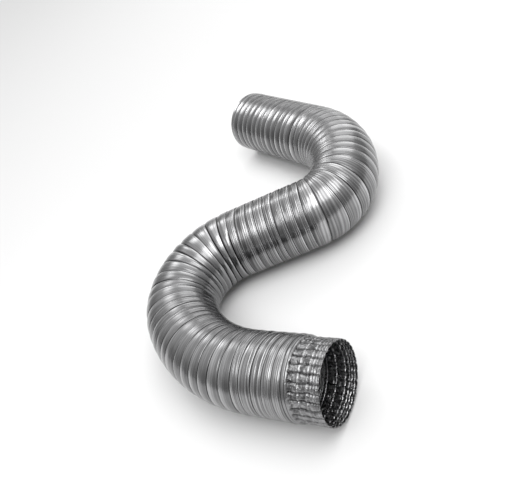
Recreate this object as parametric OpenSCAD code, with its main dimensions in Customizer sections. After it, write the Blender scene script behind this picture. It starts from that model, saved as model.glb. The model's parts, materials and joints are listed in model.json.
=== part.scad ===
// Flexible air duct: one ribbed aluminium strip, wound on a helix and seamed into one bent tube.
// It lies flat in an S. One end is plain, the other is crimped to slide into the next pipe.

/* [Wall] */
// Diameter over the lock seams
seam_d = 104; // [92:1:112]
// Depth of the fold between two seams
fold_depth = 1.6; // [0.8:0.1:2]
// Thickness of the foil wall as drawn
wall_t = 0.5; // [0.4:0.05:0.8]
// Corners in one turn of the helix
corners = 20; // [12:2:24]

/* [Far run] */
// Length of the straight far run
far_run = 164; // [80:1:300]
// Turns of the seam along the far run
far_turns = 12.5; // [6:0.5:25]

/* [Right bend] */
// Centre-line radius where the right bend opens
right_open_r = 153; // [100:1:300]
// Angle of the open part of the right bend
right_open_angle = 58; // [20:1:80]
// Turns of the seam along the open part
right_open_turns = 10.5; // [5:0.5:20]
// Centre-line radius where the right bend is tight
right_tight_r = 67; // [64:1:120]
// Angle of the tight part of the right bend
right_tight_angle = 68; // [20:1:80]
// Turns of the seam along the tight part
right_tight_turns = 5; // [3:0.5:10]

/* [Middle run] */
// Length of the straight middle run
middle_run = 114; // [60:1:300]
// Turns of the seam along the middle run
middle_turns = 8; // [4:0.5:20]

/* [Left bend] */
// Centre-line radius where the left bend is tight
left_tight_r = 97; // [80:1:160]
// Angle of the tight part of the left bend
left_tight_angle = 104; // [40:1:110]
// Turns of the seam along the tight part
left_tight_turns = 10.5; // [5:0.5:20]
// Centre-line radius where the left bend opens
left_open_r = 204; // [120:1:400]
// Angle of the open part of the left bend
left_open_angle = 46; // [20:1:60]
// Turns of the seam along the open part
left_open_turns = 11.5; // [5:0.5:20]

/* [Near run] */
// Length of the straight near run up to its last seam
near_run = 64; // [40:1:200]
// Turns of the seam along the near run
near_turns = 4.5; // [2:0.5:12]

/* [Ends] */
// Inside diameter of the plain end
plain_bore_d = 101.6; // [96:0.2:108]
// Length of the smooth band at the plain end
plain_l = 9; // [5:0.5:20]
// Length of the smooth band before the crimped end
band_l = 8; // [4:0.5:20]
// Diameter of the crimped end over its lands
crimp_d = 99; // [88:0.5:106]
// Length of the crimped end
crimp_l = 38; // [25:1:60]
// Number of crimps round the end
crimps = 30; // [16:2:36]
// Width of one crimp
crimp_w = 2.2; // [1.5:0.1:2.5]
// Depth of one crimp
crimp_depth = 1.2; // [0.8:0.1:1.6]
// Number of flattened ribs that cross the crimps
cross_ribs = 3; // [1:1:5]
// Width of one flattened rib
rib_w = 1.6; // [1:0.1:2.5]
// Depth of one flattened rib
rib_depth = 0.35; // [0.2:0.05:0.45]

/* [Hidden] */
round_fn = 180;
seam_r = seam_d / 2;
crimp_r = crimp_d / 2;
// The seam that closes each end is a ring, deep enough to take in the flats of the many-cornered wall
ring_w = 2.4;
ring_clear = 0.12;
run_out = 0.6;
join_r = seam_r - fold_depth / 2;
ring_in_r = (join_r - wall_t) * cos(180 / corners) - ring_clear;
// Outside radius of the smooth bands
plain_r = plain_bore_d / 2 + wall_t;
band_r = seam_r - fold_depth / 3;
// Height of the centre line over the ground
rest_r = max(seam_r, plain_r);
shoulder_l = 1.2;
lap = 0.6;
lap_drop = 0.2;
// Depth of a crimp's slanted side, measured towards the axis
crimp_side = wall_t / sin(atan(crimp_w / 2 / crimp_depth));

// Length of an arc on the centre line
function arc_l(r, angle) = r * angle * PI / 180;

// Each stretch of the centre line: its length, the angle it turns (left is positive) and its seam turns
STRETCHES = [
    [far_run, 0, far_turns],
    [arc_l(right_open_r, right_open_angle), -right_open_angle, right_open_turns],
    [arc_l(right_tight_r, right_tight_angle), -right_tight_angle, right_tight_turns],
    [middle_run, 0, middle_turns],
    [arc_l(left_tight_r, left_tight_angle), left_tight_angle, left_tight_turns],
    [arc_l(left_open_r, left_open_angle), left_open_angle, left_open_turns],
    [near_run, 0, near_turns]
];
LAST = len(STRETCHES) - 1;

function sum(v, i = 0) = i < len(v) ? v[i] + sum(v, i + 1) : 0;
TURNS = sum([for (s = STRETCHES) s[2]]);

// Straight distance across a path of length l that turns by angle a
function chord(l, a) = abs(a) < 0.001 ? l : l * sin(a / 2) / (a * PI / 360);

// Where the path of length l and angle a ends when it starts at p with heading h
function path_end(p, h, l, a) = p + chord(l, a) * [cos(h + a / 2), sin(h + a / 2)];

// Centre-line point and heading after t turns of the seam
function spot(t, i = 0, p = [0, 0], h = 0) =
    let (s = STRETCHES[i], part = t / s[2])
    t > s[2] && i < LAST
        ? spot(t - s[2], i + 1, path_end(p, h, s[0], s[1]), h + s[1])
        : [path_end(p, h, part * s[0], part * s[1]), h + part * s[1]];

NEAR_END = spot(TURNS);

// Point on a circle of radius r round the centre line, at angle a from the top towards the left
function skin_point(t, a, r) =
    let (s = spot(t), h = s[1])
    [s[0].x - r * sin(a) * sin(h), s[0].y + r * sin(a) * cos(h), r * cos(a)];

// The wall is a helix of rows: an even row is a seam, an odd row is the bottom of the fold beside it
ROWS = 2 * ceil(TURNS) + 2;

function held(t) = max(0, min(TURNS, t));
function rise(t) = min(1, t / run_out, (TURNS - t) / run_out);
function row_r(i, t) = join_r + (i % 2 == 0 ? 0.5 : -0.5) * fold_depth * rise(t);

function wall_points(inset) = [
    for (i = [0 : ROWS], j = [0 : corners - 1])
        let (t = held(i / 2 - 1 + j / corners))
        skin_point(t, 360 * j / corners, row_r(i, t) - inset)
];

OUTSIDE = wall_points(0);
INSIDE = wall_points(wall_t);

// Number of a point in its row, where the step past the last corner leads to the next turn
function at(i, j) = j < corners ? i * corners + j : min(i + 2, ROWS) * corners;

function wall_faces(base, flip) = [
    for (i = [0 : ROWS - 1], j = [0 : corners - 1])
        let (a = base + at(i, j), b = base + at(i + 1, j))
        let (c = base + at(i + 1, j + 1), d = base + at(i, j + 1))
        each flip ? [[a, b, c], [a, c, d]] : [[a, d, c], [a, c, b]]
];

// Faces that close the wall's two cut ends, where every corner lies in one plane
function end_faces(base) = [
    for (j = [0 : corners - 1])
        let (k = (j + 1) % corners, z = ROWS * corners)
        each [
            [k, j, base + j], [k, base + j, base + k],
            [z + j, z + k, base + z + k], [z + j, base + z + k, base + z + j]
        ]
];

module folded_wall() {
    base = len(OUTSIDE);
    polyhedron(
        concat(OUTSIDE, INSIDE),
        concat(wall_faces(0, false), wall_faces(base, true), end_faces(base)),
        convexity = 12
    );
}

// A ring turned round the local X axis from a profile of [along, radius] points
module turned(profile) {
    rotate([0, 90, 0])
        rotate_extrude($fn = round_fn)
            polygon([for (p = profile) [p[1], p[0]]]);
}

// Smooth band at the plain end, with the seam that starts the folded wall
module plain_end() {
    low_r = plain_r - wall_t;
    turned([[-plain_l, low_r], [-plain_l, plain_r], [0, plain_r], [0, low_r]]);
    turned([
        [-ring_w / 2, min(low_r, ring_in_r)], [-ring_w / 2, rest_r],
        [ring_w / 2, rest_r], [ring_w / 2, min(low_r, ring_in_r)]
    ]);
}

// Last seam, smooth band and the shoulder, which steps in to a gather that closes the crimps' roots
module near_collar() {
    edge = band_l + shoulder_l;
    low_r = crimp_r - lap_drop;
    gather_r = crimp_r - crimp_depth - crimp_side - lap_drop;
    turned([
        [-ring_w / 2, ring_in_r], [-ring_w / 2, seam_r], [ring_w / 2, seam_r], [ring_w / 2, band_r],
        [band_l, band_r], [edge, low_r], [edge + 2 * lap, low_r - lap_drop], [edge + 2 * lap, gather_r],
        [edge, gather_r], [band_l - wall_t / 2, band_r - wall_t],
        [ring_w / 2, band_r - wall_t], [ring_w / 2, ring_in_r]
    ]);
}

// One V for each crimp, which opens outwards from its bottom at radius r
module crimp_notches(from, to, r) {
    slope = crimp_w / 2 / crimp_depth;
    reach = crimp_r + crimp_depth - r;
    translate([from, 0, 0])
        rotate([0, 90, 0])
            linear_extrude(to - from)
                for (k = [0 : crimps - 1])
                    rotate(360 * (k + 0.5) / crimps)
                        polygon([[r, 0], [r + reach, -reach * slope], [r + reach, reach * slope]]);
}

// Solid form of the crimped end at a depth under its surface, run on past both ends by over
module crimped_form(depth, side, over) {
    start = band_l + shoulder_l + lap;
    r = crimp_r - depth;
    pitch = (crimp_l + rib_w) / (cross_ribs + 1);
    difference() {
        turned(concat(
            [[start - over, 0], [start - over, r]],
            [
                for (k = [1 : cross_ribs])
                    let (at = start + k * pitch - rib_w / 2)
                    each [[at - rib_w / 2, r], [at, r - rib_depth], [at + rib_w / 2, r]]
            ],
            [[start + crimp_l + over, r], [start + crimp_l + over, 0]]
        ));
        crimp_notches(start - 2 * over - lap, start + crimp_l + 2 * over + lap, crimp_r - crimp_depth - side);
    }
}

// Crimped end: lands of equal length with a flattened rib between each two
module crimped_end() {
    difference() {
        crimped_form(0, 0, 0);
        crimped_form(wall_t, crimp_side, lap / 2);
    }
}

// The outline on the ground sets the origin: the middle of the box, at the height of the ground
MOUTH = band_l + shoulder_l + lap + crimp_l;
MOUTH_AT = path_end(NEAR_END[0], NEAR_END[1], MOUTH, 0);
MOUTH_SIDE = crimp_r * [-sin(NEAR_END[1]), cos(NEAR_END[1])];
EDGES = concat(
    [for (p = OUTSIDE) [p.x, p.y]],
    [[-plain_l, plain_r], [-plain_l, -plain_r], MOUTH_AT + MOUTH_SIDE, MOUTH_AT - MOUTH_SIDE]
);
LOW = [min([for (p = EDGES) p.x]), min([for (p = EDGES) p.y])];
HIGH = [max([for (p = EDGES) p.x]), max([for (p = EDGES) p.y])];
MIDDLE = (LOW + HIGH) / 2;

module duct() {
    color("silver")
        translate([-MIDDLE.x, -MIDDLE.y, rest_r]) {
            folded_wall();
            plain_end();
            translate([NEAR_END[0].x, NEAR_END[0].y, 0])
                rotate([0, 0, NEAR_END[1]]) {
                    near_collar();
                    crimped_end();
                }
        }
}

duct();
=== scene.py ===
import json
import math

import bmesh
import bpy
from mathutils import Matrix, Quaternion, Vector


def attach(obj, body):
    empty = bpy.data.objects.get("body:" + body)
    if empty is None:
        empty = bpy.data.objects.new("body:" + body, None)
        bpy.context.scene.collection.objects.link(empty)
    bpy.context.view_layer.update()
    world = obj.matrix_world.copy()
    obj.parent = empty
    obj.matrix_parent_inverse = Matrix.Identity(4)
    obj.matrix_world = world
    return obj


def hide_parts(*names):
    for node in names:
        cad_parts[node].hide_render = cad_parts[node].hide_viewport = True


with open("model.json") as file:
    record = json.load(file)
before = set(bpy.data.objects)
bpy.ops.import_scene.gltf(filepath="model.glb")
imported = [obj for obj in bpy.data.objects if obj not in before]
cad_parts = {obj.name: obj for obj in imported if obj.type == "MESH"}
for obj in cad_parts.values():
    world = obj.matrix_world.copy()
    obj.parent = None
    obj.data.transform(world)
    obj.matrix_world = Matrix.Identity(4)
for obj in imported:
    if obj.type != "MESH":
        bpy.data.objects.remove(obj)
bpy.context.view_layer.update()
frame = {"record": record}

# Sizes of the duct in millimetres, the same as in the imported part. The shoulder's length has its lap in it
MM = 0.001
SEAM_R = 52.0
WALL_T = 0.5
PLAIN_R = 51.3
PLAIN_L = 9.0
BAND_L = 8.0
SHOULDER_L = 1.8
CRIMP_L = 38.0
SLEEVE_L = BAND_L + SHOULDER_L + CRIMP_L
CRIMPS = 30
# Width of the strip on its own map, and the fine ribs in that width
STRIP_W = 14.0
RIBS = 6.0

# How strongly a form shows on a stretch: the fine ribs with painted shade between them, the folds, the
# grooves at the seams with painted shade, the lock ridges beside them with a painted highlight, uneven lines
# with painted shade and highlight, and the painted highlight and shade of a bead, with no shape of its own,
# on a strip that is pushed together
STRENGTHS = ("ribbing", "folding", "groove", "ridge", "uneven", "bead")
# Each stretch of the centre line: a run's length or a bend's radius, the angle to the left, the turns of the
# seam, and the strengths
STRETCHES = [
    (164, 0, 12.5, 0.3, 1.0, 0.9, 0.8, 0.4, 1.0),
    (153, -58, 10.5, 0.4, 1.0, 1.1, 0.6, 0.25, 0.75),
    (67, -68, 5, 1.0, 1.0, 0.7, 0.8, 0.35, 0.25),
    (114, 0, 8, 1.2, 0.7, 0.3, 1.8, 0.9, 0.25),
    (97, 104, 10.5, 0.25, 1.1, 1.0, 0.6, 0.15, 0.7),
    (204, 46, 11.5, 0.3, 1.0, 1.0, 0.6, 0.3, 0.65),
    (64, 0, 4.5, 0.6, 0.7, 0.7, 0.4, 0.9, 0.2),
]
TURNS = sum(stretch[2] for stretch in STRETCHES)

# Depths of the finest relief, which the materials draw: rolling streaks, ribs that were pressed harder, and
# crumples
STREAK_DEPTH = 0.2
PRESS_DEPTH = 0.8
CRUMPLE_DEPTH = 0.9

# Fineness of the meshes
STEPS_PER_TURN = 8
ROWS_PER_TURN = 28
CORNERS = 96
SLEEVE_ROWS = 124
CORNERS_PER_CRIMP = 13
BAND_SIDES = 128
MERGE_MM = 0.001

# The path starts at the first seam, past the middle of the plain end's bore mount, on the duct's axis
MOUNT_TO_SEAM = 5.1
plain_mount = next(m for m in frame["record"]["mounts"] if m["name"] == "plain_end")
START = Vector(plain_mount["pos_m"]) + Vector((MOUNT_TO_SEAM * MM, 0, 0))

# The camera stands as the photograph's fit gives it, rolled against the ground
PHOTO_W = 507
FOCAL_PX = 641.7
CAMERA_AT = Vector((0.6846, -0.3012, 0.6332))
CAMERA_AZIMUTH = math.radians(158.91)
CAMERA_ELEVATION = math.radians(-37.53)
CAMERA_ROLL = math.radians(-31.71)
SENSOR_MM = 36.0


def linear(hex_colour):
    """An sRGB hex colour as linear RGBA."""
    parts = [int(hex_colour[i:i + 2], 16) / 255 for i in (1, 3, 5)]
    return [p / 12.92 if p <= 0.04045 else ((p + 0.055) / 1.055) ** 2.4 for p in parts] + [1.0]


def per_metre(size):
    """How often a pattern of a size in millimetres comes in a metre, as a whole number."""
    return round(1 / (size * MM))


def between(low, high, start, end):
    """Settings that map a value's range, from low to high, onto the range from start to end."""
    return {"From Min": low, "From Max": high, "To Min": start, "To Max": end}


def add(tree, kind, *values, **settings):
    """Adds a node with its settings. A value fills the input at its place, and a dict fills the inputs that
    it names or numbers."""
    node = tree.nodes.new(kind)
    for name, value in settings.items():
        setattr(node, name, value)
    pairs = []
    for place, value in enumerate(values):
        pairs += value.items() if isinstance(value, dict) else [(place, value)]
    for key, value in pairs:
        if isinstance(value, bpy.types.Node):
            value = value.outputs[0]
        if isinstance(value, bpy.types.NodeSocket):
            tree.links.new(value, node.inputs[key])
        else:
            node.inputs[key].default_value = value
    return node


def set_tones(ramp, tones):
    """Gives a colour ramp its greys, as (place, grey)."""
    while len(ramp.elements) < len(tones):
        ramp.elements.new(0.5)
    for element, (place, grey) in zip(ramp.elements, tones):
        element.position = place
        element.color = (grey, grey, grey, 1)


# A corner in a curve. The curve's other points are rounded
CORNER = "VECTOR"


def set_curve(node, points):
    """Gives a curve node its points, as (place, height) and CORNER where the curve bends sharply there."""
    curve = node.mapping.curves[0]
    while len(curve.points) < len(points):
        curve.points.new(0.5, 0.5)
    for point, (x, y, *corner) in zip(curve.points, points):
        point.location = (x, y)
        point.handle_type = corner[0] if corner else "AUTO"
    node.mapping.update()
    return node


def add_object(name, data):
    """An object with its data, put into the scene."""
    thing = bpy.data.objects.new(name, data)
    bpy.context.scene.collection.objects.link(thing)
    return thing


def direction(azimuth, elevation):
    """Unit vector towards an azimuth and an elevation, in radians."""
    flat = math.cos(elevation)
    return Vector((flat * math.cos(azimuth), flat * math.sin(azimuth), math.sin(elevation)))


def make_camera():
    data = bpy.data.cameras.new("camera")
    data.sensor_fit = "HORIZONTAL"
    data.sensor_width = SENSOR_MM
    data.lens = FOCAL_PX / PHOTO_W * SENSOR_MM
    camera = add_object("camera", data)
    camera.rotation_mode = "QUATERNION"
    look = direction(CAMERA_AZIMUTH, CAMERA_ELEVATION).to_track_quat("-Z", "Y")
    camera.rotation_quaternion = look @ Quaternion((0, 0, 1), CAMERA_ROLL)
    camera.location = CAMERA_AT
    bpy.context.scene.camera = camera


# Soft studio light: each lamp's name, azimuth, elevation, distance, width, spread, radiance and aim, in
# metres and degrees
CENTRE = Vector((0, 0, 0))
FAR_RUN = Vector((-0.2, 0.2, 0.05))
NEAR_RUN = Vector((0.09, -0.26, 0.05))
LAMPS = [
    ("overhead_lamp", 22, 66, 2.2, 1.65, 180, 2.9, CENTRE),
    ("front_lamp", -57, 58, 2.2, 1.2, 180, 3.0, CENTRE),
    ("back_lamp", 165, 34, 0.9, 0.38, 34, 0.27, FAR_RUN),
    ("left_lamp", -177.5, 50, 1.04, 0.9, 30, 0.08, NEAR_RUN),
    ("side_lamp", 118, 31, 2.4, 1.6, 180, 1.3, CENTRE),
    ("window_lamp", 118, 7, 2.4, 0.7, 180, 1.3, CENTRE),
]


def make_lamps():
    """Round lamps, each with the power that gives its face the stated radiance."""
    for name, azimuth, elevation, distance, width, spread, radiance, aim in LAMPS:
        data = bpy.data.lights.new(name, "AREA")
        data.shape = "DISK"
        data.size = width
        data.spread = math.radians(spread)
        data.energy = radiance * math.pi * math.pi * (width / 2) ** 2
        lamp = add_object(name, data)
        lamp.location = direction(math.radians(azimuth), math.radians(elevation)) * distance
        lamp.rotation_mode = "QUATERNION"
        lamp.rotation_quaternion = (lamp.location - aim).to_track_quat("Z", "Y")
        lamp.visible_camera = False


# The studio's greys by height, as the sine of the elevation, how much paler its far side is, and its floor
STUDIO_GREYS = [(0.0, 0.5), (0.3, 0.52), (0.65, 0.95), (0.9, 1.25)]
PALE_SIDE = math.radians(140)
PALER_BY = 0.2
FLOOR_W = 8.0


def make_world():
    """A pale studio: grey at the height of the horizon, brighter overhead, and paler on its far side."""
    world = bpy.data.worlds.new("studio")
    world.use_nodes = True
    tree = world.node_tree
    tree.nodes.clear()
    where = add(tree, "ShaderNodeTexCoord").outputs["Generated"]
    split = add(tree, "ShaderNodeSeparateXYZ", where)
    ramp = add(tree, "ShaderNodeValToRGB", split.outputs["Z"])
    ramp.color_ramp.interpolation = "EASE"
    set_tones(ramp.color_ramp, STUDIO_GREYS)
    side = add(tree, "ShaderNodeVectorMath", where, direction(PALE_SIDE, 0), operation="DOT_PRODUCT")
    level = add(tree, "ShaderNodeMath", side.outputs["Value"], PALER_BY, 1.0, operation="MULTIPLY_ADD")
    shine = add(tree, "ShaderNodeBackground", ramp, level)
    add(tree, "ShaderNodeOutputWorld", shine)
    bpy.context.scene.world = world


def new_material(name):
    """A material with an empty node tree, and that tree."""
    material = bpy.data.materials.new(name)
    material.use_nodes = True
    material.node_tree.nodes.clear()
    return material, material.node_tree


def make_floor():
    """Flat matt white paper floor under the duct."""
    half = FLOOR_W / 2
    mesh = bpy.data.meshes.new("floor")
    corners = [(-half, -half, 0), (half, -half, 0), (half, half, 0), (-half, half, 0)]
    mesh.from_pydata(corners, [], [(0, 1, 2, 3)])
    floor = add_object("floor", mesh)
    material, tree = new_material("matt_white_paper")
    shader = add(tree, "ShaderNodeBsdfDiffuse", linear("#DCDCDC"))
    add(tree, "ShaderNodeOutputMaterial", shader)
    mesh.materials.append(material)


# Painted light across one strip, from groove to groove: painted shade in the groove, a painted highlight on
# the lock ridge beside it above a strip in painted shade, and the painted highlight and shade of a rounded
# bead, which has no shape
STRIP_PAINTED_LIGHT = {
    "groove": [
        (0.0, 0.15), (0.02, 0.25), (0.04, 0.95), (0.06, 1.0),
        (0.9, 1.0), (0.957, 0.8), (0.98, 0.2), (1.0, 0.15),
    ],
    "ridge": [
        (0.0, 0.6), (0.035, 0.9), (0.05, 1.5), (0.11, 1.5),
        (0.17, 0.95), (0.4, 0.8), (0.85, 0.68), (1.0, 0.6),
    ],
    "bead": [
        (0.0, 0.55), (0.05, 1.15), (0.14, 1.25), (0.34, 1.2),
        (0.48, 0.8), (0.6, 0.68), (0.9, 0.62), (1.0, 0.5),
    ],
}


def toned(tree, shade, tones):
    """A shade that is multiplied by one tone after another, each as far as its own amount goes."""
    for amount, tone in tones:
        mixed = add(tree, "ShaderNodeMix", {0: amount, 6: shade, 7: tone},
                    data_type="RGBA", blend_type="MULTIPLY")
        shade = mixed.outputs[2]
    return shade


def winding(tree, relief):
    """What winding leaves on the foil as painted shade and highlights: lock seams, beads that are only
    painted, fine ribs and uneven lines, which also get relief.
    """
    split = add(tree, "ShaderNodeSeparateXYZ", add(tree, "ShaderNodeUVMap", uv_map="strip"))
    strips = add(tree, "ShaderNodeMath", split.outputs["Y"], STRIP_W * MM, operation="DIVIDE")
    across = add(tree, "ShaderNodeMath", strips, operation="FRACT")
    strength = {
        name: add(tree, "ShaderNodeAttribute", attribute_name=name).outputs["Fac"]
        for name in ("groove", "ridge", "bead", "ribbing", "uneven")
    }
    tones = []
    # Painted shade in the grooves and over the strips, and painted highlights on the lock ridges and the
    # beads
    for name, greys in STRIP_PAINTED_LIGHT.items():
        ramp = add(tree, "ShaderNodeValToRGB", across)
        set_tones(ramp.color_ramp, greys)
        tones.append((strength[name], ramp))
    # Painted shade in the valleys between the fine ribs, which come out darker than their crests
    ribs = add(tree, "ShaderNodeMath", across, RIBS * math.tau, operation="MULTIPLY")
    wave = add(tree, "ShaderNodeMath", ribs, operation="COSINE")
    window = add(tree, "ShaderNodeMapRange", across, between(0.12, 0.22, 0.0, 1.0))
    ribbed = add(tree, "ShaderNodeMath", wave, window, operation="MULTIPLY")
    valley = add(tree, "ShaderNodeMath", ribbed, strength["ribbing"], operation="MULTIPLY")
    rib_valley_shade = add(tree, "ShaderNodeMapRange", valley, between(-1.0, 1.0, 1.0, 0.55))
    # The rollers press some ribs harder than others, in a few lines to a strip, as relief. The same noise
    # paints these lines darker where the relief lies lower and brighter where it stands higher: painted shade
    # and highlight
    press = add(tree, "ShaderNodeTexNoise", {"W": strips, "Scale": 6.0, "Detail": 1.0}, noise_dimensions="1D")
    lines = add(tree, "ShaderNodeMapRange", press, between(0.3, 0.62, 0.4, 1.3))
    deep = add(tree, "ShaderNodeMath", press, strength["uneven"], operation="MULTIPLY")
    relief = add(tree, "ShaderNodeBump", {
        "Strength": 1.0, "Distance": PRESS_DEPTH * MM, "Height": deep, "Normal": relief,
    })
    return tones + [(1.0, rib_valley_shade), (strength["uneven"], lines)], relief


def crimping(tree, relief):
    """What crimping leaves on the foil: crumples as relief, painted shade in the roots and the collar's
    grooves, tone that varies in patches, and painted highlights on the beads.
    """
    place = add(tree, "ShaderNodeTexCoord").outputs["Object"]
    gathered, sunk, raised = [
        add(tree, "ShaderNodeAttribute", attribute_name=name).outputs["Fac"]
        for name in ("gathered", "sunk", "raised")
    ]
    # Crumples about 2.4 mm wide
    crumple = add(tree, "ShaderNodeTexNoise", place, {"Scale": per_metre(2.38), "Detail": 2.0})
    crumpled = add(tree, "ShaderNodeMapRange", gathered, between(0.0, 1.0, 0.1, 1.0))
    relief = add(tree, "ShaderNodeBump", {
        "Strength": crumpled, "Distance": CRUMPLE_DEPTH * MM, "Height": crumple, "Normal": relief,
    })
    # Painted shade in the crimps' roots and in the collar's two grooves
    root_and_groove_shade = add(tree, "ShaderNodeMapRange", sunk, between(0.15, 0.8, 1.0, 0.3))
    # The pillows are brighter and duller in patches about 6 mm wide. The beads across them get a painted
    # highlight, brighter where they stand higher
    patches = add(tree, "ShaderNodeTexNoise", place, {"Scale": per_metre(5.88), "Detail": 3.0})
    patchy = add(tree, "ShaderNodeMapRange", patches, between(0.38, 0.6, 0.35, 1.1))
    bead_highlight_and_patches = add(tree, "ShaderNodeMath", raised, 1.4, patchy, operation="MULTIPLY_ADD")
    even = add(tree, "ShaderNodeMath", bead_highlight_and_patches, 1.25, operation="MINIMUM")
    return [(1.0, root_and_groove_shade), (gathered, even)], relief


def rolled_foil(name, dull_hex, clean_hex, forming=None):
    """Bright aluminium foil as it leaves the rolls: mirror-like but hazy, with fine streaks along the strip.
    Its forming, winding or crimping, adds its own relief and its painted shade and highlights."""
    material, tree = new_material(name)
    # Streaks about 0.6 mm wide and 60 mm long, drawn wider than the real rolling marks so that they show
    strip = add(tree, "ShaderNodeUVMap", uv_map="strip")
    stretched = add(tree, "ShaderNodeMapping", strip, {"Scale": (per_metre(62.5), per_metre(0.625), 1)})
    streaks = add(tree, "ShaderNodeTexNoise", stretched, {"Scale": 1.0, "Detail": 3.0})
    haze = add(tree, "ShaderNodeMapRange", streaks, between(0.3, 0.7, 0.18, 0.28))
    relief = add(tree, "ShaderNodeBump", {"Strength": 0.08, "Distance": STREAK_DEPTH * MM, "Height": streaks})
    # Smudges about 22 mm wide, from handling
    place = add(tree, "ShaderNodeTexCoord").outputs["Object"]
    smudges = add(tree, "ShaderNodeTexNoise", place, {"Scale": per_metre(22), "Detail": 3.0})
    clean = add(tree, "ShaderNodeMapRange", smudges, between(0.3, 0.7, 0.0, 1.0))
    foil = add(tree, "ShaderNodeMix", {0: clean, 6: linear(dull_hex), 7: linear(clean_hex)}, data_type="RGBA")
    tones, relief = forming(tree, relief) if forming else ([], relief)
    shader = add(tree, "ShaderNodeBsdfPrincipled", {
        "Base Color": toned(tree, foil.outputs[2], tones), "Metallic": 1.0, "Roughness": haze,
        "Normal": relief,
    })
    add(tree, "ShaderNodeOutputMaterial", shader)
    return material


def matt_foil(name):
    """The inner face of the strip: the matt side that foil gets when two sheets are rolled together."""
    material, tree = new_material(name)
    place = add(tree, "ShaderNodeTexCoord").outputs["Object"]
    # Crumples about 4 mm wide, deep only where the foil is crimped
    crumple = add(tree, "ShaderNodeTexNoise", place, {"Scale": per_metre(4.17), "Detail": 2.0})
    gathered = add(tree, "ShaderNodeAttribute", attribute_name="gathered").outputs["Fac"]
    crumpled = add(tree, "ShaderNodeMapRange", gathered, between(0.0, 1.0, 0.15, 1.0))
    relief = add(tree, "ShaderNodeBump", {
        "Strength": crumpled, "Distance": CRUMPLE_DEPTH * MM, "Height": crumple,
    })
    haze = add(tree, "ShaderNodeMapRange", crumple, between(0.35, 0.65, 0.16, 0.36))
    shader = add(tree, "ShaderNodeBsdfPrincipled", {
        "Base Color": linear("#A2A2A3"), "Metallic": 1.0, "Roughness": haze, "Normal": relief,
    })
    add(tree, "ShaderNodeOutputMaterial", shader)
    return material


def step_along(place, heading, length, angle):
    """Where a stretch of a length that turns by an angle in degrees leads from a place with a heading."""
    turn = math.radians(angle)
    chord = length * math.sin(turn / 2) / (turn / 2) if turn else length
    middle = heading + turn / 2
    return place + chord * Vector((math.cos(middle), math.sin(middle), 0)), heading + turn


def centre_line():
    """Place, heading, bend and strengths at each eighth of a turn of the seam."""
    steps = []
    place, heading = START.copy(), 0.0
    for size, angle, turns, *strengths in STRETCHES:
        length = size * MM * (math.radians(abs(angle)) if angle else 1)
        count = round(turns * STEPS_PER_TURN)
        for k in range(count):
            at, towards = step_along(place, heading, length * k / count, angle * k / count)
            steps.append((at, towards, math.radians(angle) / length, *strengths))
        place, heading = step_along(place, heading, length, angle)
    steps.append((place, heading, 0.0, *STRETCHES[-1][3:]))
    return steps


LINE = centre_line()
LINE_NUMBERS = ("heading", "bend", *STRENGTHS)
NEAR_END, NEAR_HEADING = LINE[-1][:2]


def centre_line_mesh(name):
    """The centre line as a mesh of edges that holds the line's numbers at its points."""
    mesh = bpy.data.meshes.new(name)
    mesh.from_pydata([step[0] for step in LINE], [(i, i + 1) for i in range(len(LINE) - 1)], [])
    for column, number in enumerate(LINE_NUMBERS, 1):
        values = mesh.attributes.new(number, "FLOAT", "POINT").data
        values.foreach_set("value", [step[column] for step in LINE])
    return mesh


def new_tree(name, inputs):
    """An empty node group with a geometry in and out, and named number inputs with their defaults."""
    tree = bpy.data.node_groups.new(name, "GeometryNodeTree")
    tree.interface.new_socket("Geometry", in_out="INPUT", socket_type="NodeSocketGeometry")
    tree.interface.new_socket("Geometry", in_out="OUTPUT", socket_type="NodeSocketGeometry")
    for label, value in inputs.items():
        kind = "NodeSocketInt" if isinstance(value, int) else "NodeSocketFloat"
        socket = tree.interface.new_socket(label, in_out="INPUT", socket_type=kind)
        socket.default_value = value
    return tree


def unit_grid(tree, rows, columns):
    """A flat grid of rows and columns of points, and each point's share of the way along and round."""
    grid = add(tree, "GeometryNodeMeshGrid", {
        "Size X": 1.0, "Size Y": 1.0, "Vertices X": rows, "Vertices Y": columns,
    })
    here = add(tree, "GeometryNodeInputPosition")
    from_corner = add(tree, "ShaderNodeVectorMath", here, (0.5, 0.5, 0), operation="ADD")
    share = add(tree, "ShaderNodeSeparateXYZ", from_corner)
    return grid, share.outputs["X"], share.outputs["Y"]


def finish_tree(tree, grid, strip, numbers, place, material):
    """Ends a tree: the grid keeps the strip's map and its numbers, takes its place and gets its material."""
    kept = add(tree, "GeometryNodeStoreNamedAttribute", {"Geometry": grid, "Name": "strip", "Value": strip},
               data_type="FLOAT2", domain="CORNER")
    for name, value in numbers.items():
        kept = add(tree, "GeometryNodeStoreNamedAttribute", {"Geometry": kept, "Name": name, "Value": value},
                   data_type="FLOAT", domain="POINT")
    placed = add(tree, "GeometryNodeSetPosition", {"Geometry": kept, "Position": place})
    merged = add(tree, "GeometryNodeMergeByDistance", {"Geometry": placed, "Distance": MERGE_MM * MM})
    smooth = add(tree, "GeometryNodeSetShadeSmooth", {"Geometry": merged})
    real = add(tree, "GeometryNodeRealizeInstances", {"Geometry": smooth})
    dressed = add(tree, "GeometryNodeSetMaterial", {"Geometry": real, "Material": material})
    add(tree, "NodeGroupOutput", {"Geometry": dressed})


# One strip from groove to groove: how far the foil lies below its crest, as a share of the fold's depth
FOLD_DROP = [
    (0.0, 1.0), (0.02, 0.97), (0.06, 0.76), (0.12, 0.44), (0.2, 0.18), (0.3, 0.03), (0.4, 0.0), (0.6, 0.12),
    (0.8, 0.38), (0.95, 0.74), (1.0, 1.0, CORNER),
]
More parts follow.
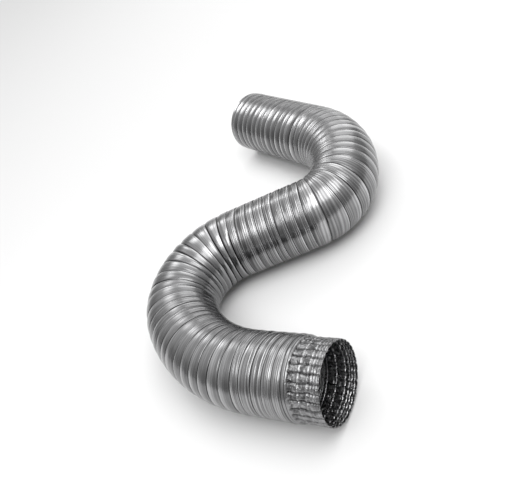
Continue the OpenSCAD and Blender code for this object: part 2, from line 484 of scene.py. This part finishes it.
# The narrow groove of the lock seam, at both ends of the strip
GROOVE_DROP = [
    (0.0, 1.0), (0.014, 0.9), (0.03, 0.2), (0.05, 0.0, CORNER),
    (0.96, 0.0, CORNER), (0.972, 0.2), (0.986, 0.9), (1.0, 1.0),
]
# The rounded lock ridge beside the groove, and where on the strip the fine ribs lie
RIDGE_SHAPE = [
    (0.0, 0.0, CORNER), (0.03, 0.35), (0.05, 0.85), (0.07, 1.0), (0.09, 0.8), (0.12, 0.3), (0.17, 0.0),
    (1.0, 0.0, CORNER),
]
RIB_WINDOW = [
    (0.0, 0.0, CORNER), (0.12, 0.0, CORNER), (0.22, 1.0),
    (0.84, 1.0), (0.93, 0.0, CORNER), (1.0, 0.0, CORNER),
]
# Rows of points crowd at the groove and the ridge: a row's place on its strip, by its number as a share
ROW_PLACES = [
    (row / ROWS_PER_TURN, place, CORNER) for row, place in [
        (0, 0.0), (1, 0.014), (2, 0.03), (3, 0.05), (4, 0.07), (5, 0.09), (6, 0.12), (7, 0.17),
        (24, 0.86), (25, 0.93), (26, 0.972), (27, 0.986), (28, 1.0),
    ]
]


def wound_turns(tree, given, along, column):
    """A point's place across its strip, the turn of its strip's groove, and its own turn of the seam."""
    even_turn = add(tree, "ShaderNodeMath", along, given["Turns"], given["First turn"],
                    operation="MULTIPLY_ADD")
    even_place = add(tree, "ShaderNodeMath", even_turn, operation="FRACT")
    whole_turn = add(tree, "ShaderNodeMath", even_turn, operation="FLOOR")
    across = set_curve(add(tree, "ShaderNodeFloatCurve", {"Value": even_place}), ROW_PLACES)
    groove_turn = add(tree, "ShaderNodeMath", whole_turn, across, operation="ADD")
    row_turn = add(tree, "ShaderNodeMath", groove_turn, given["Groove before seam"], operation="SUBTRACT")
    return across, groove_turn, add(tree, "ShaderNodeMath", row_turn, column, operation="ADD")


def line_at(tree, given, turn):
    """The centre line's place and numbers at a turn of the seam, between the two steps beside it."""
    step = add(tree, "ShaderNodeMath", turn, given["Steps per turn"], operation="MULTIPLY")
    low = add(tree, "ShaderNodeMath", step, operation="FLOOR")
    high = add(tree, "ShaderNodeMath", low, 1.0, operation="ADD")
    part = add(tree, "ShaderNodeMath", step, operation="FRACT")
    line = {}
    for name in ("position", *LINE_NUMBERS):
        # A Mix node keeps its two ends and its result at other numbers for a vector than for a number
        if name == "position":
            kind, mix, first, second, result = "FLOAT_VECTOR", "VECTOR", 4, 5, 1
        else:
            kind, mix, first, second, result = "FLOAT", "FLOAT", 2, 3, 0
        value = add(tree, "GeometryNodeInputNamedAttribute", name, data_type=kind)
        ends = [
            add(tree, "GeometryNodeSampleIndex", {
                "Geometry": given["Geometry"], "Value": value, "Index": index,
            }, data_type=kind, clamp=True)
            for index in (low, high)
        ]
        mixed = add(tree, "ShaderNodeMix", {0: part, first: ends[0], second: ends[1]}, data_type=mix)
        line[name] = mixed.outputs[result]
    return line


def strip_drop(tree, given, line, across, seeded_turn):
    """How far a point lies below its strip's crest: fold, groove and fine ribs, less the lock ridge."""
    vary = add(tree, "ShaderNodeTexNoise", {"W": seeded_turn, "Scale": 2.3, "Detail": 1.0},
               noise_dimensions="1D")
    vary_depth = add(tree, "ShaderNodeMapRange", vary, between(0.3, 0.7, 0.6, 1.3))
    depths = []
    drops = [(FOLD_DROP, "folding", "Fold depth"), (GROOVE_DROP, "groove", "Groove depth")]
    for curve, strength, depth in drops:
        drop = set_curve(add(tree, "ShaderNodeFloatCurve", {"Value": across}), curve)
        varied = add(tree, "ShaderNodeMath", drop, vary_depth, operation="MULTIPLY")
        here = add(tree, "ShaderNodeMath", varied, line[strength], operation="MULTIPLY")
        depths.append(add(tree, "ShaderNodeMath", here, given[depth], operation="MULTIPLY"))
    folded = add(tree, "ShaderNodeMath", *depths, operation="ADD")

    window = set_curve(add(tree, "ShaderNodeFloatCurve", {"Value": across}), RIB_WINDOW)
    rib_turn = add(tree, "ShaderNodeMath", across, given["Ribs"], operation="MULTIPLY")
    rib_angle = add(tree, "ShaderNodeMath", rib_turn, math.tau, operation="MULTIPLY")
    wave = add(tree, "ShaderNodeMath", rib_angle, operation="COSINE")
    rib = add(tree, "ShaderNodeMath", wave, window, operation="MULTIPLY")
    rib_here = add(tree, "ShaderNodeMath", rib, line["ribbing"], operation="MULTIPLY")
    rib_depth = add(tree, "ShaderNodeMath", rib_here, given["Rib depth"], operation="MULTIPLY")
    ribbed = add(tree, "ShaderNodeMath", folded, rib_depth, operation="ADD")

    ridge = set_curve(add(tree, "ShaderNodeFloatCurve", {"Value": across}), RIDGE_SHAPE)
    ridge_here = add(tree, "ShaderNodeMath", ridge, line["ridge"], operation="MULTIPLY")
    ridge_height = add(tree, "ShaderNodeMath", ridge_here, given["Ridge height"], operation="MULTIPLY")
    return add(tree, "ShaderNodeMath", ribbed, ridge_height, operation="SUBTRACT")


def wall_tree(material):
    """The spiral wall: rows of points run along the helix, each on a circle round the centre line."""
    tree = new_tree("spiral_wall", {
        "First turn": 0.0, "Turns": 1.0, "All turns": TURNS,
        "Rows per turn": ROWS_PER_TURN, "Steps per turn": STEPS_PER_TURN, "Corners": CORNERS,
        "Seam radius": SEAM_R * MM, "Crest below seam": 0.3 * MM, "Groove before seam": 0.12,
        "Fold depth": 1.3 * MM, "Groove depth": 0.9 * MM, "Ridge height": 0.45 * MM,
        "Rib depth": 0.13 * MM, "Ribs": RIBS, "Dent depth": 0.15 * MM,
        "Run out": 0.7, "Wander": 0.6, "Crowding": -0.45, "Seed": 3.0,
    })
    given = add(tree, "NodeGroupInput").outputs
    rows = add(tree, "ShaderNodeMath", given["Turns"], given["Rows per turn"], operation="MULTIPLY")
    # A grid has one more row of points than of faces, and the half makes up for rounding down
    rows_of_points = add(tree, "ShaderNodeMath", rows, 1.5, operation="ADD")
    columns_of_points = add(tree, "ShaderNodeMath", given["Corners"], 1.0, operation="ADD")
    grid, along, around = unit_grid(tree, rows_of_points, columns_of_points)

    # A turn starts underneath. The relief runs out at both ends of the helix
    column = add(tree, "ShaderNodeMath", around, 0.5, operation="SUBTRACT")
    across, groove_turn, turn = wound_turns(tree, given, along, column)
    to_end = add(tree, "ShaderNodeMath", given["All turns"], turn, operation="SUBTRACT")
    nearest_end = add(tree, "ShaderNodeMath", turn, to_end, operation="MINIMUM")
    rise = add(tree, "ShaderNodeMath", nearest_end, given["Run out"], operation="DIVIDE", use_clamp=True)

    # Uneven winding: the seams wander a little along the duct
    seeded_turn = add(tree, "ShaderNodeMath", turn, given["Seed"], operation="ADD")
    wander = add(tree, "ShaderNodeTexNoise", {"W": seeded_turn, "Scale": 0.9, "Detail": 2.0},
                 noise_dimensions="1D")
    centred = add(tree, "ShaderNodeMath", wander, 0.5, operation="SUBTRACT")
    jitter = add(tree, "ShaderNodeMath", centred, rise, operation="MULTIPLY")
    wandered = add(tree, "ShaderNodeMath", jitter, given["Wander"], turn, operation="MULTIPLY_ADD")
    held = add(tree, "ShaderNodeClamp", wandered, 0.0, given["All turns"])
    line = line_at(tree, given, held)

    # The way outwards from the centre line
    angle = add(tree, "ShaderNodeMath", column, math.tau, operation="MULTIPLY")
    sine = add(tree, "ShaderNodeMath", angle, operation="SINE")
    cosine = add(tree, "ShaderNodeMath", angle, operation="COSINE")
    upright = add(tree, "ShaderNodeCombineXYZ", 0.0, sine, cosine)
    outwards = add(tree, "ShaderNodeVectorRotate", {"Vector": upright, "Angle": line["heading"]},
                   rotation_type="Z_AXIS")

    # A strip is pushed together on the inside of a bend and pulled flat on the outside
    lean = add(tree, "ShaderNodeMath", sine, line["bend"], operation="MULTIPLY")
    short = add(tree, "ShaderNodeMath", lean, given["Seam radius"], operation="MULTIPLY")
    stretch = add(tree, "ShaderNodeMath", 1.0, short, operation="SUBTRACT")
    crowd = add(tree, "ShaderNodeMath", stretch, given["Crowding"], operation="POWER")
    drop = strip_drop(tree, given, line, across, seeded_turn)
    crowded = add(tree, "ShaderNodeMath", drop, crowd, operation="MULTIPLY")

    # Small dents about 55 mm wide
    smooth = add(tree, "ShaderNodeVectorMath", outwards, {"Scale": given["Seam radius"]}, operation="SCALE")
    smooth_place = add(tree, "ShaderNodeVectorMath", smooth, line["position"], operation="ADD")
    dents = add(tree, "ShaderNodeTexNoise", {"Vector": smooth_place, "Scale": per_metre(55), "Detail": 1.0})
    dent = add(tree, "ShaderNodeMath", dents, 0.5, operation="SUBTRACT")
    dent_depth = add(tree, "ShaderNodeMath", dent, given["Dent depth"], operation="MULTIPLY")
    sunk = add(tree, "ShaderNodeMath", crowded, dent_depth, operation="ADD")
    sunk_here = add(tree, "ShaderNodeMath", sunk, rise, operation="MULTIPLY")
    crest = add(tree, "ShaderNodeMath", given["Seam radius"], given["Crest below seam"], operation="SUBTRACT")
    radius = add(tree, "ShaderNodeMath", crest, sunk_here, operation="SUBTRACT")
    offset = add(tree, "ShaderNodeVectorMath", outwards, {"Scale": radius}, operation="SCALE")
    place = add(tree, "ShaderNodeVectorMath", line["position"], offset, operation="ADD")

    # The strip's own map, in metres: round the duct, and along it at one strip width a turn
    round_m = add(tree, "ShaderNodeMath", angle, SEAM_R * MM, operation="MULTIPLY")
    along_m = add(tree, "ShaderNodeMath", groove_turn, STRIP_W * MM, operation="MULTIPLY")
    strip = add(tree, "ShaderNodeCombineXYZ", round_m, along_m, 0.0)
    shown = {name: line[name] for name in ("ribbing", "groove", "ridge", "uneven", "bead")}
    finish_tree(tree, grid, strip, shown, place, material)
    return tree


def grow(name, tree, mesh, sizes, inner):
    """Runs a tree on a mesh, gives the sheet its thickness and its inner face its own material."""
    seedling = add_object(name + "_start", mesh)
    nodes = seedling.modifiers.new("rule", "NODES")
    nodes.node_group = tree
    for socket in tree.interface.items_tree:
        if socket.name in sizes and socket.in_out == "INPUT":
            nodes[socket.identifier] = sizes[socket.name]
    outer_faces = len(seedling.evaluated_get(bpy.context.evaluated_depsgraph_get()).data.polygons)
    wall = seedling.modifiers.new("thickness", "SOLIDIFY")
    wall.thickness = WALL_T * MM
    wall.offset = -1.0
    result = bpy.data.meshes.new_from_object(seedling.evaluated_get(bpy.context.evaluated_depsgraph_get()))
    bpy.data.objects.remove(seedling)
    # The first slot comes out empty and takes the inner face's material
    result.materials[0] = inner
    edge_faces = len(result.polygons) - 2 * outer_faces
    result.polygons.foreach_set("material_index", [1] * outer_faces + [0] * outer_faces + [1] * edge_faces)
    result.name = name
    return add_object(name, result)


def add_piece(piece):
    """Puts a finished piece on the duct's body, in the duct's place, and hides the imported duct."""
    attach(piece, "root")
    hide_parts("duct")


# The wall is cut into pieces at these turns of the seam
WALL_CUTS = [-1, 12, 25, 38, 51, math.ceil(TURNS) + 1]
WALL_NAMES = ["far_wall", "right_bend_wall", "middle_wall", "left_bend_wall", "near_wall"]


def make_wall(material, inner):
    tree = wall_tree(material)
    for name, first, last in zip(WALL_NAMES, WALL_CUTS, WALL_CUTS[1:]):
        sizes = {"First turn": float(first), "Turns": float(last - first)}
        add_piece(grow(name, tree, centre_line_mesh(name), sizes, inner))


# The near end's profile: distance from the last seam, and radius. The crimped part widens by 1 in 90 to the
# mouth
SLEEVE_PROFILE = [
    (0.0, 52.0), (0.9, 51.9), (1.6, 50.8), (2.4, 51.4), (5.4, 51.4), (6.2, 50.9), (7.0, 51.4), (8.0, 51.3),
    (8.8, 51.0), (10.4, 49.2), (12.0, 49.0), (SLEEVE_L, 49.0 + (SLEEVE_L - 12.0) / 90),
]
# The radii between which a curve from 0 to 1 draws that profile
LOW_R = 48.0
HIGH_R = 53.0
# How strongly the foil is crimped and wrinkled along the near end, and how much painted shade lies in the
# collar's two grooves
CRIMPED = [(0.0, 0.0, CORNER), (8.6, 0.0, CORNER), (10.5, 1.0), (SLEEVE_L, 0.8)]
WRINKLED = [(0.0, 0.0, CORNER), (7.0, 0.05, CORNER), (9.5, 0.9), (15.0, 0.9), (20.0, 0.5), (SLEEVE_L, 0.5)]
COLLAR_GROOVE_SHADE = [
    (0.0, 0.0, CORNER), (1.0, 0.0, CORNER), (1.6, 1.0), (2.3, 0.0, CORNER), (5.6, 0.0, CORNER), (6.2, 0.9),
    (6.8, 0.0, CORNER), (SLEEVE_L, 0.0, CORNER),
]
# The beads that cross the crimps: distance from the last seam, half width, and height as a share
BEADS = [(21.3, 1.3, 0.5), (33.0, 1.2, 0.42), (37.8, 0.9, 0.35), (41.3, 0.9, 0.3), (44.8, 0.8, 0.3)]
BEAD_HEIGHTS = [
    (0.0, 0.0, CORNER),
    *(
        point for at, half, height in BEADS
        for point in ((at - half, 0.0, CORNER), (at, height), (at + half, 0.0, CORNER))
    ),
    (SLEEVE_L, 0.0, CORNER),
]


def sleeve_tree(material):
    """The crimped end: pillows between the crimps, beads across them, and a wrinkled root."""
    tree = new_tree("crimped_sleeve", {
        "Length": SLEEVE_L * MM, "Rows": SLEEVE_ROWS, "Corners": CRIMPS * CORNERS_PER_CRIMP,
        "Crimps": float(CRIMPS), "Crimp depth": 1.9 * MM, "Crimp lean": 0.6, "Bead height": 1.0 * MM,
        "Wrinkle depth": 1.9 * MM, "Ragged edge": 3.0 * MM, "Heading": NEAR_HEADING, "Seed": 0.0,
    })
    given = add(tree, "NodeGroupInput").outputs
    rows_of_points = add(tree, "ShaderNodeMath", given["Rows"], 1.0, operation="ADD")
    columns_of_points = add(tree, "ShaderNodeMath", given["Corners"], 1.0, operation="ADD")
    grid, along, around = unit_grid(tree, rows_of_points, columns_of_points)
    angle = add(tree, "ShaderNodeMath", around, math.tau, operation="MULTIPLY")
    sine = add(tree, "ShaderNodeMath", angle, operation="SINE")
    cosine = add(tree, "ShaderNodeMath", angle, operation="COSINE")
    profile_shares = [(x, (radius - LOW_R) / (HIGH_R - LOW_R), CORNER) for x, radius in SLEEVE_PROFILE]
    curves = []
    for points in (profile_shares, CRIMPED, WRINKLED, COLLAR_GROOVE_SHADE, BEAD_HEIGHTS):
        curve = add(tree, "ShaderNodeFloatCurve", {"Value": along})
        curves.append(set_curve(curve, [(x / SLEEVE_L, *rest) for x, *rest in points]))
    profile, crimped, wrinkled, collar, bead = curves
    body = add(tree, "ShaderNodeMath", profile, (HIGH_R - LOW_R) * MM, LOW_R * MM, operation="MULTIPLY_ADD")

    # Crimps: sharp roots that lean a little, and rounded pillows between them, only past the shoulder
    ring = add(tree, "ShaderNodeCombineXYZ", along, sine, cosine)
    lean_noise = add(tree, "ShaderNodeTexNoise", {"Vector": ring, "Scale": 3.0, "Detail": 1.0})
    lean = add(tree, "ShaderNodeMath", lean_noise, 0.5, operation="SUBTRACT")
    count = add(tree, "ShaderNodeMath", around, given["Crimps"], operation="MULTIPLY")
    shifted = add(tree, "ShaderNodeMath", lean, given["Crimp lean"], count, operation="MULTIPLY_ADD")
    cell = add(tree, "ShaderNodeMath", shifted, operation="FRACT")
    centred = add(tree, "ShaderNodeMath", cell, 0.5, operation="SUBTRACT")
    side = add(tree, "ShaderNodeMath", centred, operation="ABSOLUTE")
    valley = add(tree, "ShaderNodeMath", side, 2.0, operation="MULTIPLY")
    root = add(tree, "ShaderNodeMath", valley, 4.0, operation="POWER")
    root_here = add(tree, "ShaderNodeMath", root, crimped, operation="MULTIPLY")
    root_depth = add(tree, "ShaderNodeMath", root_here, given["Crimp depth"], operation="MULTIPLY")
    bead_rise = add(tree, "ShaderNodeMath", bead, given["Bead height"], operation="MULTIPLY")

    # Wrinkles about 2.5 mm wide, strongest at the root, where the foil is gathered
    seeded_ring = add(tree, "ShaderNodeVectorMath", ring, given["Seed"], operation="ADD")
    wrinkle = add(tree, "ShaderNodeTexNoise", {"Vector": seeded_ring, "Scale": 19.8, "Detail": 3.0})
    wrinkle_swing = add(tree, "ShaderNodeMath", wrinkle, 0.5, operation="SUBTRACT")
    wrinkle_here = add(tree, "ShaderNodeMath", wrinkle_swing, wrinkled, operation="MULTIPLY")
    wrinkle_depth = add(tree, "ShaderNodeMath", wrinkle_here, given["Wrinkle depth"], operation="MULTIPLY")

    # Crimps and wrinkles sink the foil and beads raise it. The wrinkles also make the mouth ragged
    beaded = add(tree, "ShaderNodeMath", root_depth, bead_rise, operation="SUBTRACT")
    relief = add(tree, "ShaderNodeMath", beaded, wrinkle_depth, operation="ADD")
    radius = add(tree, "ShaderNodeMath", body, relief, operation="SUBTRACT")
    ragged = add(tree, "ShaderNodeMath", wrinkle_here, given["Ragged edge"], operation="MULTIPLY")
    x = add(tree, "ShaderNodeMath", along, given["Length"], ragged, operation="MULTIPLY_ADD")
    y = add(tree, "ShaderNodeMath", sine, radius, operation="MULTIPLY")
    z = add(tree, "ShaderNodeMath", cosine, radius, operation="MULTIPLY")
    local = add(tree, "ShaderNodeCombineXYZ", x, y, z)
    turned = add(tree, "ShaderNodeVectorRotate", {"Vector": local, "Angle": given["Heading"]},
                 rotation_type="Z_AXIS")
    place = add(tree, "ShaderNodeVectorMath", turned, tuple(NEAR_END), operation="ADD")

    round_m = add(tree, "ShaderNodeMath", angle, SEAM_R * MM, operation="MULTIPLY")
    strip = add(tree, "ShaderNodeCombineXYZ", round_m, x, 0.0)
    # Painted shade in the crimps' roots and in the collar's two grooves, by how sunk the foil is
    sunk = add(tree, "ShaderNodeMath", root_here, collar, operation="MAXIMUM")
    finish_tree(tree, grid, strip, {"sunk": sunk, "raised": bead, "gathered": crimped}, place, material)
    return tree


def make_near_end(material, inner):
    add_piece(grow("crimped_sleeve", sleeve_tree(material), bpy.data.meshes.new("near_end"), {}, inner))


# The plain end's profile: distance from the first seam, and radius, round the outside and back along the bore
PLAIN_PROFILE = [
    (0.4, 51.6), (-1.2, 51.9), (-2.0, PLAIN_R), (-8.0, PLAIN_R), (-8.8, 51.5), (-PLAIN_L, PLAIN_R),
    (-PLAIN_L, 51.0), (-8.6, PLAIN_R - WALL_T), (0.4, PLAIN_R - WALL_T),
]


def make_plain_end(material):
    """The smooth band at the far end, with a rolled edge, turned round the far run's axis."""
    shape = bmesh.new()
    layer = shape.loops.layers.uv.new("strip")
    rings = []
    for k in range(BAND_SIDES):
        a = math.tau * k / BAND_SIDES
        rings.append([
            shape.verts.new(START + Vector((x, r * math.sin(a), r * math.cos(a))) * MM)
            for x, r in PLAIN_PROFILE
        ])
    for k in range(BAND_SIDES):
        this, following = rings[k], rings[(k + 1) % BAND_SIDES]
        for i in range(len(PLAIN_PROFILE)):
            j = (i + 1) % len(PLAIN_PROFILE)
            face = shape.faces.new((this[i], this[j], following[j], following[i]))
            face.smooth = True
            for loop, (column, row) in zip(face.loops, ((k, i), (k, j), (k + 1, j), (k + 1, i))):
                round_m = SEAM_R * MM * math.tau * column / BAND_SIDES
                loop[layer].uv = (round_m, PLAIN_PROFILE[row][0] * MM)
    bmesh.ops.recalc_face_normals(shape, faces=shape.faces)
    mesh = bpy.data.meshes.new("plain_band")
    shape.to_mesh(mesh)
    shape.free()
    mesh.materials.append(material)
    add_piece(add_object("plain_band", mesh))


make_camera()
bpy.context.scene.view_settings.view_transform = "Standard"
make_lamps()
make_world()
make_floor()
inner_face = matt_foil("matt_side_of_rolled_aluminium_foil")
make_wall(rolled_foil("ribbed_rolled_aluminium_foil", "#A4A4A5", "#B0B0B1", winding), inner_face)
make_near_end(rolled_foil("crimped_rolled_aluminium_foil", "#868687", "#949495", crimping), inner_face)
make_plain_end(rolled_foil("rolled_aluminium_foil", "#8C8C8D", "#989899"))
